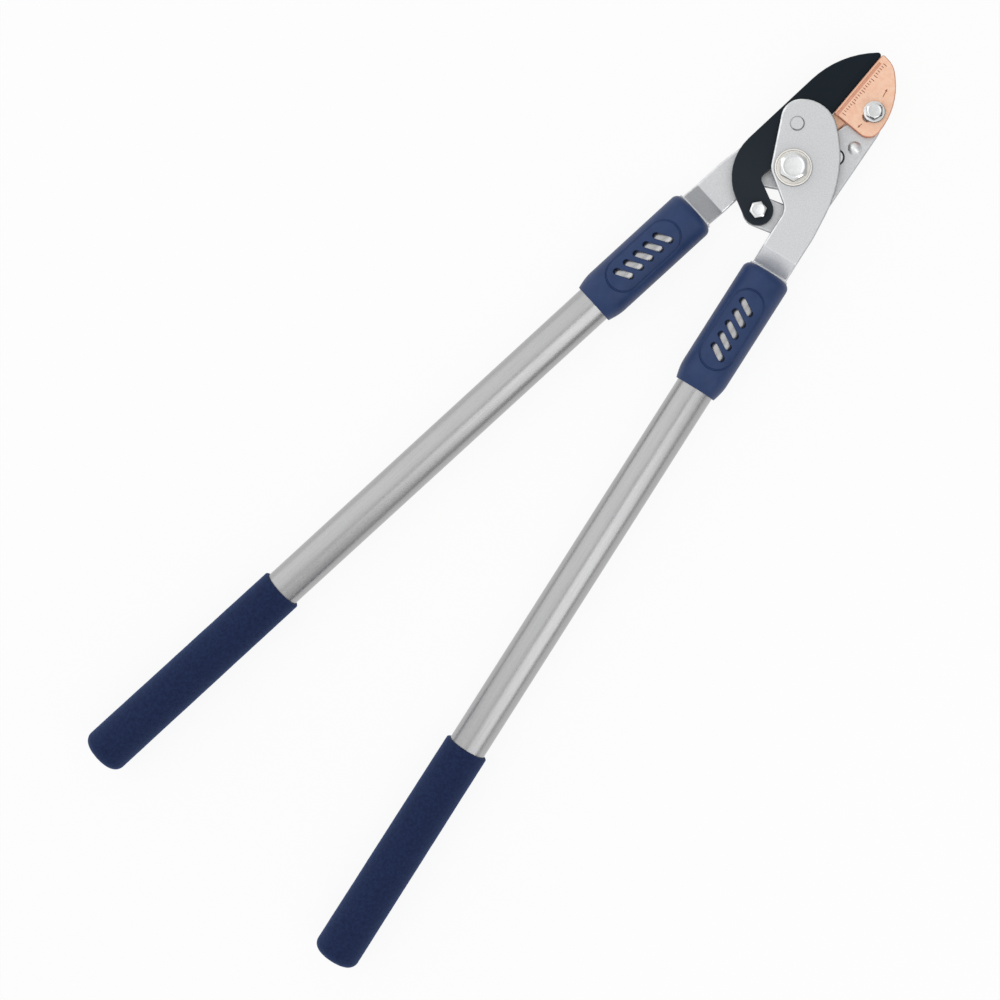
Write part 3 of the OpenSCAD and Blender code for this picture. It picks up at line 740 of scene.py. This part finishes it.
def ticks():
    """Outlines of two rows of scale marks beside the working face."""
    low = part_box("anvil")[0]
    left = low.x + TICK_FROM_FACE
    found = []
    for first, count in TICK_ROWS:
        for i in range(count):
            y = low.y + first + i * TICK_PITCH
            length = TICK_LONG if i % TICK_GROUP == 0 else TICK_SHORT
            found.append([
                Vector((left, y)), Vector((left + length, y)),
                Vector((left + length, y + MARK_W)), Vector((left, y + MARK_W)),
            ])
    return found


def prisms(outlines, low, high, material_index):
    """Upright blocks over flat outlines."""
    bm = bmesh.new()
    for outline in outlines:
        bottom = [bm.verts.new((p.x, p.y, low)) for p in outline]
        top = [bm.verts.new((p.x, p.y, high)) for p in outline]
        bm.faces.new(bottom)
        bm.faces.new(top)
        for i in range(len(outline)):
            j = (i + 1) % len(outline)
            bm.faces.new((bottom[i], bottom[j], top[j], top[i]))
    bmesh.ops.recalc_face_normals(bm, faces=bm.faces)
    for face in bm.faces:
        face.material_index = material_index
    return bm


def temporary(bm):
    """An object that lives only while a cut is worked out."""
    mesh = bpy.data.meshes.new("temporary")
    bm.to_mesh(mesh)
    bm.free()
    for _ in ANVIL_PAINTS_AND_SHADES:
        mesh.materials.append(None)
    obj = bpy.data.objects.new("temporary", mesh)
    bpy.context.scene.collection.objects.link(obj)
    return obj


def cut(bm, cutter):
    """The first body without the second one."""
    body, tool = temporary(bm), temporary(cutter)
    change = body.modifiers.new("cut", "BOOLEAN")
    change.operation = "DIFFERENCE"
    change.solver = "EXACT"
    change.object = tool
    evaluated = body.evaluated_get(bpy.context.evaluated_depsgraph_get())
    result = bmesh.new()
    result.from_mesh(evaluated.to_mesh())
    evaluated.to_mesh_clear()
    for obj in (body, tool):
        mesh = obj.data
        bpy.data.objects.remove(obj)
        bpy.data.meshes.remove(mesh)
    return result


def add_anvil():
    """The casting with its groove, ledge and marks: darker marks, painted shade on the groove floor, on
    edges away from the light and on walls facing the tail, and painted light on the ledge.
    """
    low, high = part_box("anvil")
    top = high.z
    bm = solid_copy("anvil")
    for face in bm.faces:
        # The groove floor gets painted shade and the lower ledge painted light.
        level = face.calc_center_median().z
        if face.normal.z > FACES_UP and level < top - GROOVE_LEAST:
            face.material_index = ANVIL_EDGE_AND_GROOVE_SHADE if level > top - GROOVE_MOST else ANVIL_LIT_LEDGE
    round_edges(bm, ANVIL_EDGE, ANVIL_EDGE_AND_GROOVE_SHADE)
    bm.normal_update()
    # Roundings away from the light and upper walls facing the tail get painted shade in the colour of
    # the marks.
    for face in bm.faces:
        rounding = face.material_index == ANVIL_EDGE_AND_GROOVE_SHADE and abs(face.normal.z) < EDGE_STEEP
        upper = face.calc_center_median().z > (low.z + top) / 2
        if rounding and face.normal.x > 0 or upper and face.normal.y < SHADE_FACING:
            face.material_index = ANVIL_MARKS_AND_SHADE
    marks = ticks() + [arrow(*ends) for ends in ARROWS]
    bm = cut(bm, prisms(marks, top - MARK_DEPTH, top + MARK_OVER, ANVIL_MARKS_AND_SHADE))
    piece("anvil_body", bm, "anvil", materials=ANVIL_PAINTS_AND_SHADES)


# Tubes and grips

def add_tube(side):
    """A drawn tube with slightly broken edges."""
    node = side + "_tube"
    start, end = handle_span(node, SIDES[side])
    profile = [
        (TUBE_R - TUBE_WALL, start), (TUBE_R - TUBE_EDGE, start), (TUBE_R, start + TUBE_EDGE),
        *line((TUBE_R, start + TUBE_EDGE), (TUBE_R, end - TUBE_EDGE), TUBE_STEPS),
        (TUBE_R - TUBE_EDGE, end), (TUBE_R - TUBE_WALL, end),
    ]
    bm = ring_mesh([circle(r, z, TUBE_SEGMENTS) for r, z in profile], closed_loop=True)
    finish = "bare_aluminium" if side == "right" else "left_aluminium"
    piece(node + "_body", bm, node, handle_matrix(SIDES[side]), [finish])


def grip_profile(start, end):
    """From the bore at the open end, over the rim and down the outside to the middle of the dome."""
    bore_r = TUBE_R + GRIP_FIT
    rim_r = TUBE_R + FOAM_TOP
    end_r = TUBE_R + FOAM
    dome_h = DOME_SHARE * 2 * end_r
    slope = math.atan2(dome_h, end_r)
    round_z = end - dome_h - GRIP_ROUND * math.tan((math.pi / 2 - slope) / 2)
    round_end = 90 - math.degrees(slope)
    shoulder = arc((end_r - GRIP_ROUND, round_z), GRIP_ROUND, 0, round_end, GRIP_ROUND_STEPS)
    return [
        (bore_r, start + GRIP_BORE_L),
        *line((bore_r, start + GRIP_BORE_L), (bore_r, start + GRIP_LIP), GRIP_BORE_STEPS),
        *arc((rim_r - GRIP_RIM, start + GRIP_RIM), GRIP_RIM, GRIP_RIM_FROM, 0, GRIP_RIM_STEPS),
        *line((rim_r, start + GRIP_RIM), (end_r, round_z), int((round_z - start) / GRIP_STEP)),
        *shoulder[1:],
        *line(shoulder[-1], (DOME_POLE, end), DOME_STEPS),
    ]


def foam_drop(point):
    """How far the foam's skin sinks in at a place."""
    fine = noise.noise(point / (FOAM_FINE_SIZE * FOAM_CELL))
    cells = 0.5 + FOAM_CELL_SPREAD * (noise.noise(point / FOAM_CELL) + FOAM_FINE_SHARE * fine)
    waves = 0.5 + FOAM_WAVE_SPREAD * noise.noise(point / FOAM_WAVE)
    return FOAM_DEPTH * min(max(cells, 0), 1) + FOAM_WAVE_DEPTH * min(max(waves, 0), 1)


def add_grip(side):
    """A foam sleeve with a domed end and an uneven skin."""
    node = side + "_grip"
    start, end = handle_span(node, SIDES[side])
    rings = []
    for r, z in grip_profile(start, end):
        ring = circle(r, z, GRIP_SEGMENTS)
        middle = Vector((0, 0, min(z, end - DOME_CENTRE_SHARE * TUBE_R)))
        for point in ring:
            inward = (middle - point).normalized()
            point += inward * foam_drop(point + Vector((SIDES[side], 0, 0)))
        rings.append(ring)
    grip = piece(node + "_foam", ring_mesh(rings, closed_end=True), node, handle_matrix(SIDES[side]))


# Bolts

def hexagon_r(angle, across, turn):
    """Distance from the middle to a flat of a hexagon."""
    local = (angle - turn) % math.radians(60) - math.radians(30)
    return across / 2 / math.cos(local)


def head_rings(low, high, across, turn):
    """A hexagon head with a turned chamfer, a rim and a shallow dish on top."""
    top_r = HEAD_TOP_SHARE * across / 2
    slope = math.tan(math.radians(HEAD_CHAMFER))
    angles = [2 * math.pi * i / HEAD_SEGMENTS for i in range(HEAD_SEGMENTS)]
    flats = [hexagon_r(a, across, turn) for a in angles]
    edges = [high - (r - top_r) * slope for r in flats]

    def ring(radii, heights):
        places = zip(radii, angles, heights)
        return [Vector((r * math.cos(a), r * math.sin(a), z)) for r, a, z in places]

    def level(radius, z):
        return ring([radius] * HEAD_SEGMENTS, [z] * HEAD_SEGMENTS)

    soft, dish = HEAD_SOFT, HEAD_DISH_DEPTH_SHARE * across
    return [
        level(HEAD_FOOT_SHARE * across / 2, low),
        ring([r - soft for r in flats], [low] * HEAD_SEGMENTS),
        ring(flats, [low + soft] * HEAD_SEGMENTS),
        ring(flats, [z - soft for z in edges]),
        ring([r - SOFT_SIDE_IN * soft for r in flats], [z - SOFT_SIDE_DOWN * soft for z in edges]),
        ring([r - SOFT_CHAMFER_IN * soft for r in flats], [z + soft * slope for z in edges]),
        level(top_r + SOFT_TOP_IN * soft, high - SOFT_TOP_DOWN * soft),
        level(top_r - SOFT_TOP_IN * soft, high),
        level(HEAD_DISH_SHARE * top_r, high),
        *(level((HEAD_DISH_SHARE - inset) * top_r, high - depth * dish) for inset, depth in DISH_SLOPE),
        level(DISH_POLE_SHARE * top_r, high - dish),
    ]


def add_bolt(node, across, head_h, shank_r, turn, flange=None):
    """A bolt from the end of its shank to the dish in its head, with painted shade on its sides, more
    of it away from the light.
    """
    low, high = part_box(node)
    middle = (low + high) / 2
    base = high.z - head_h
    flat = [
        (BOLT_POLE, low.z), (shank_r - THREAD_CHAMFER, low.z),
        (shank_r, low.z + THREAD_CHAMFER), (shank_r, base),
    ]
    if flange:
        flange_r, flange_t = flange
        base = high.z - head_h + flange_t
        flat[-1] = (shank_r, base - flange_t)
        flat.append((flange_r - HEAD_SOFT, base - flange_t))
        half = 0.5 * flange_t
        flat += arc((flange_r - half, base - half), half, -FLANGE_ARC, FLANGE_ARC, FLANGE_STEPS)
    rings = [circle(r, z, HEAD_SEGMENTS) for r, z in flat]
    rings = [[Vector((p.y, p.x, p.z)) for p in ring] for ring in rings]
    rings += head_rings(base, high.z, across, math.radians(turn))
    place = Matrix.Translation((middle.x, middle.y, 0))
    bm = ring_mesh(rings, closed_end=True)
    # Steep faces of the head get painted shade, more of them away from the light.
    paint_walls(bm, 1, LIT_STEEP, FLANGED_STEEP if flange else WALL_STEEP)
    piece(node + "_body", bm, node, place, ["zinc", "zinc_painted_shade"])


# Collars

def stadium(length, width, centre, slant, grow):
    """A closed loop round a slot, in the front view (across, down), enlarged by a margin."""
    r = width / 2 + grow
    half = (length - width) / 2
    loop = []
    for end in (1, -1):
        for i in range(STADIUM_STEPS + 1):
            a = math.pi * i / STADIUM_STEPS
            loop.append((end * r * math.cos(a), end * (half + r * math.sin(a))))
        steps = max(int(2 * half / STADIUM_SPACING), 1)
        loop += [(-end * r, end * (half - 2 * half * i / steps)) for i in range(1, steps)]
    turn = (math.cos(slant), math.sin(slant))
    return [
        (centre[0] + x * turn[0] + y * turn[1], centre[1] - x * turn[1] + y * turn[0])
        for x, y in loop
    ]


def stadium_distance(point, length, width, centre, slant):
    """Signed distance from the edge of a slot, negative inside."""
    x, y = point[0] - centre[0], point[1] - centre[1]
    turn = (math.cos(slant), math.sin(slant))
    across, along = x * turn[0] - y * turn[1], x * turn[1] + y * turn[0]
    over = max(abs(along) - (length - width) / 2, 0)
    return math.hypot(across, over) - width / 2


class Collar:
    """A moulded sleeve, drawn unrolled so that its slots and its oval line have clean edges."""

    def __init__(self, side):
        self.side = side
        self.node = side + "_collar"
        self.start, self.end = handle_span(self.node, SIDES[side])
        self.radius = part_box(self.node)[1].z - AXIS_Z
        middle = (self.start + self.end) / 2
        slant = SIDES[side] * math.radians(WINDOW_SLANT)
        steps = [i - (WINDOW_COUNT - 1) / 2 for i in range(WINDOW_COUNT)]
        self.windows = [(WINDOW_L, WINDOW_W, (0, middle + i * WINDOW_PITCH), slant) for i in steps]
        self.oval = (OVAL_L - OVAL_LINE, OVAL_W - OVAL_LINE, (0, middle), 0)

    def outer_r(self, s):
        """Radius of the plain sleeve: a rounded head end and a convex taper to the tube."""
        from_head = s - self.start
        if from_head < COLLAR_ROUND:
            return self.radius - COLLAR_ROUND + math.sqrt(
                max(COLLAR_ROUND ** 2 - (COLLAR_ROUND - from_head) ** 2, 0)
            )
        from_taper = s - (self.end - COLLAR_TAPER)
        if from_taper > 0:
            drop = self.radius - TUBE_R - COLLAR_RIM
            share = from_taper / COLLAR_TAPER
            return self.radius - drop * share ** COLLAR_TAPER_POWER
        return self.radius

    def drop(self, flat):
        """How far the skin lies below the plain sleeve at a place of the front view."""
        window = min(stadium_distance(flat, *w) for w in self.windows)
        depth = 0
        if window < WINDOW_SOFT:
            rest = max(window, 0)
            depth = WINDOW_SOFT - math.sqrt(max(WINDOW_SOFT ** 2 - (WINDOW_SOFT - rest) ** 2, 0))
        line_place = abs(stadium_distance(flat, *self.oval)) / (OVAL_LINE / 2 + OVAL_SOFT)
        if line_place < 1:
            depth += OVAL_DEPTH * (0.5 + 0.5 * math.cos(math.pi * line_place)) ** OVAL_POWER
        return depth

    def loops(self):
        """The edges of the slots and of the oval line."""
        found = [stadium(*w, grow) for w in self.windows for grow in WINDOW_GROWS]
        found += [stadium(*self.oval, grow) for grow in OVAL_GROWS]
        return found

    def keeps(self, flat):
        """Whether a point of the plain grid is clear of the slots and of the oval line."""
        window = min(stadium_distance(flat, *w) for w in self.windows)
        oval = abs(stadium_distance(flat, *self.oval))
        return window > WINDOW_SOFT + GRID_CLEAR and oval > OVAL_GROWS[-1] + GRID_CLEAR

    def plan(self):
        """Points and fixed edges of the unrolled skin (arc length, distance down the handle)."""
        half = math.pi * self.radius
        points, edges = [], []
        for loop in self.loops():
            first = len(points)
            points += [(self.radius * math.asin(x / self.radius), s) for x, s in loop]
            edges += [(first + i, first + (i + 1) % len(loop)) for i in range(len(loop))]
        turns = [math.radians(90 * i / COLLAR_ROUND_STEPS) for i in range(COLLAR_ROUND_STEPS)]
        head = [self.start + COLLAR_ROUND * (1 - math.cos(turn)) for turn in turns]
        body_steps = int((self.end - COLLAR_TAPER - self.start - COLLAR_ROUND) / GRID_STEP)
        body_start = self.start + COLLAR_ROUND
        body_l = self.end - COLLAR_TAPER - body_start
        body = [body_start + body_l * i / body_steps for i in range(body_steps)]
        tail_shares = [i / COLLAR_TAPER_STEPS for i in range(COLLAR_TAPER_STEPS + 1)]
        tail = [self.end - COLLAR_TAPER * (1 - share) for share in tail_shares]
        for s in head + body + tail:
            for i in range(COLLAR_SEGMENTS + 1):
                a = half * (2 * i / COLLAR_SEGMENTS - 1)
                front = abs(a) < half / 2
                flat = (self.radius * math.sin(a / self.radius), s)
                if not front or self.keeps(flat):
                    points.append((a, s))
        return points, edges

    def place(self, a, s):
        """A point of the plan on the sleeve."""
        angle = a / self.radius
        flat = (self.radius * math.sin(angle), s)
        r = self.outer_r(s)
        if abs(angle) < math.pi / 2:
            r -= self.drop(flat)
        return Vector((r * math.sin(angle), max(r * math.cos(angle), -AXIS_Z), s))

    def mesh(self):
        """The skin rolled up, with the slots left open."""
        points, edges = self.plan()
        found = delaunay_2d_cdt([Vector(p) for p in points], edges, [], 0, PLAN_MERGE)
        bm = bmesh.new()
        verts = [bm.verts.new(self.place(*p)) for p in found[0]]
        flats = [(self.radius * math.sin(p[0] / self.radius), p[1]) for p in found[0]]
        for face in found[2]:
            middle = [sum(flats[i][k] for i in face) / 3 for k in (0, 1)]
            angle = sum(found[0][i][0] for i in face) / 3 / self.radius
            if abs(angle) > math.pi / 2 or min(stadium_distance(middle, *w) for w in self.windows) > 0:
                bm.faces.new([verts[i] for i in face])
        bmesh.ops.remove_doubles(bm, verts=bm.verts, dist=WELD)
        bmesh.ops.delete(bm, geom=[v for v in bm.verts if not v.link_faces], context="VERTS")
        self.add_walls(bm)
        return bm

    def add_walls(self, bm):
        """Walls of the slots down to the tube, and the two ends."""
        inner_r = TUBE_R + COLLAR_FIT
        borders = [e for e in bm.edges if e.is_boundary]
        head = [e for e in borders if all(v.co.z < self.start + WELD for v in e.verts)]
        tail = [e for e in borders if all(v.co.z > self.end - WELD for v in e.verts)]
        slots = [e for e in borders if e not in set(head) and e not in set(tail)]
        walls = bmesh.ops.extrude_edge_only(bm, edges=slots)["geom"]
        for vert in (v for v in walls if isinstance(v, bmesh.types.BMVert)):
            vert.co.y = math.sqrt(inner_r ** 2 - vert.co.x ** 2)
        bmesh.ops.contextual_create(bm, geom=head)
        rim = bmesh.ops.extrude_edge_only(bm, edges=tail)["geom"]
        for vert in (v for v in rim if isinstance(v, bmesh.types.BMVert)):
            vert.co.xy = vert.co.xy.normalized() * inner_r
        inner = [e for e in rim if isinstance(e, bmesh.types.BMEdge)]
        bore = bmesh.ops.extrude_edge_only(bm, edges=inner)["geom"]
        for vert in (v for v in bore if isinstance(v, bmesh.types.BMVert)):
            vert.co.z = self.end - COLLAR_TAPER

    def build(self):
        piece(self.node + "_body", self.mesh(), self.node, handle_matrix(SIDES[self.side]))


# Stage

def add_camera():
    """A camera above the object, turned and tilted as in the photograph."""
    back = Vector((math.sin(CAMERA_TILTS[0]), math.sin(CAMERA_TILTS[1]), 0))
    back.z = math.sqrt(1 - back.length_squared)
    right = Vector((-math.cos(CAMERA_ROLL), math.sin(CAMERA_ROLL), 0)).cross(back).normalized()
    up = back.cross(right)
    camera = bpy.data.objects.new("camera", bpy.data.cameras.new("camera"))
    camera.data.lens = CAMERA_LENS
    camera.data.clip_start = CLIP_START
    camera.data.clip_end = CLIP_END
    camera.matrix_world = Matrix((right, up, back)).transposed().to_4x4()
    camera.location = CAMERA_TARGET + CAMERA_DISTANCE * back
    bpy.context.scene.collection.objects.link(camera)
    bpy.context.scene.camera = camera


def softbox(name, towards, distance, size, watts):
    """A rectangular lamp that shines at the middle of the object."""
    lamp = bpy.data.lights.new(name, "AREA")
    lamp.shape = "RECTANGLE"
    lamp.size, lamp.size_y = size
    lamp.energy = watts
    obj = bpy.data.objects.new(name, lamp)
    way = Vector(towards).normalized()
    obj.location = CAMERA_TARGET + way * distance
    obj.rotation_euler = way.to_track_quat("Z", "Y").to_euler()
    bpy.context.scene.collection.objects.link(obj)


def add_floor():
    """A pale floor that looks nearly white and keeps a light shadow."""
    bm = bmesh.new()
    bmesh.ops.create_grid(bm, x_segments=1, y_segments=1, size=FLOOR_SIZE)
    mesh = bpy.data.meshes.new("floor")
    bm.to_mesh(mesh)
    bm.free()
    paint = Paint("floor", roughness=0.9, specular_ior_level=0.1)
    paint.colour(paint.grain(400 * MM, 2), (0.89, 0.89, 0.89), (0.91, 0.91, 0.91))
    rays = paint.add("ShaderNodeLightPath")
    seen = rays.outputs["Is Camera Ray"]
    for other in ("Is Glossy Ray", "Is Transmission Ray"):
        seen = paint.sum(seen, rays.outputs[other], 1)
    white = paint.add("ShaderNodeEmission")
    white.inputs["Color"].default_value = (1, 1, 1, 1)
    white.inputs["Strength"].default_value = 1
    mix = paint.add("ShaderNodeMixShader")
    paint.link(paint.between(seen, 0, FLOOR_WHITE, 0, 1), mix.inputs["Fac"])
    paint.link(paint.shader.outputs["BSDF"], mix.inputs[1])
    paint.link(white.outputs["Emission"], mix.inputs[2])
    paint.link(mix.outputs["Shader"], paint.tree.nodes["Material Output"].inputs["Surface"])
    mesh.materials.append(paint.material)
    floor = bpy.data.objects.new("floor", mesh)
    floor.location.z = -FLOOR_DROP
    bpy.context.scene.collection.objects.link(floor)


def add_world():
    """Soft light from above, brighter from the left of the picture and weak from its right."""
    world = bpy.data.worlds.new("studio")
    world.use_nodes = True
    tree = world.node_tree
    source = tree.nodes.new("ShaderNodeTexCoord")
    turned = tree.nodes.new("ShaderNodeMapping")
    turned.inputs["Rotation"].default_value[2] = -WORLD_TURN
    split = tree.nodes.new("ShaderNodeSeparateXYZ")
    place = tree.nodes.new("ShaderNodeMapRange")
    place.inputs["From Min"].default_value = -1
    ramp = tree.nodes.new("ShaderNodeValToRGB")
    stops = ramp.color_ramp.elements
    stops.new(0.5)
    for stop, level in zip(stops, (WORLD_LEFT, WORLD_MIDDLE, WORLD_RIGHT)):
        stop.color = (level, level, level, 1)
    tree.links.new(source.outputs["Generated"], turned.inputs["Vector"])
    tree.links.new(turned.outputs["Vector"], split.inputs["Vector"])
    tree.links.new(split.outputs["X"], place.inputs["Value"])
    tree.links.new(place.outputs["Result"], ramp.inputs["Fac"])
    tree.links.new(ramp.outputs["Color"], tree.nodes["Background"].inputs["Color"])
    bpy.context.scene.world = world


# The order of work

add_plates()
add_anvil()
for hand in SIDES:
    add_tube(hand)
    add_grip(hand)
    Collar(hand).build()
for bolt, sizes in BOLTS.items():
    add_bolt(bolt, *sizes)

# CAD nodes whose shape is right keep it and get their finish
for name, node in frame["nodes"].items():
    node.data.materials.clear()
    node.data.materials.append(MATERIALS[SLOTS[name]])

add_camera()
add_floor()
add_world()
for lamp_name, settings in LAMPS.items():
    softbox(lamp_name, *settings)
bpy.context.scene.view_settings.view_transform = "Standard"
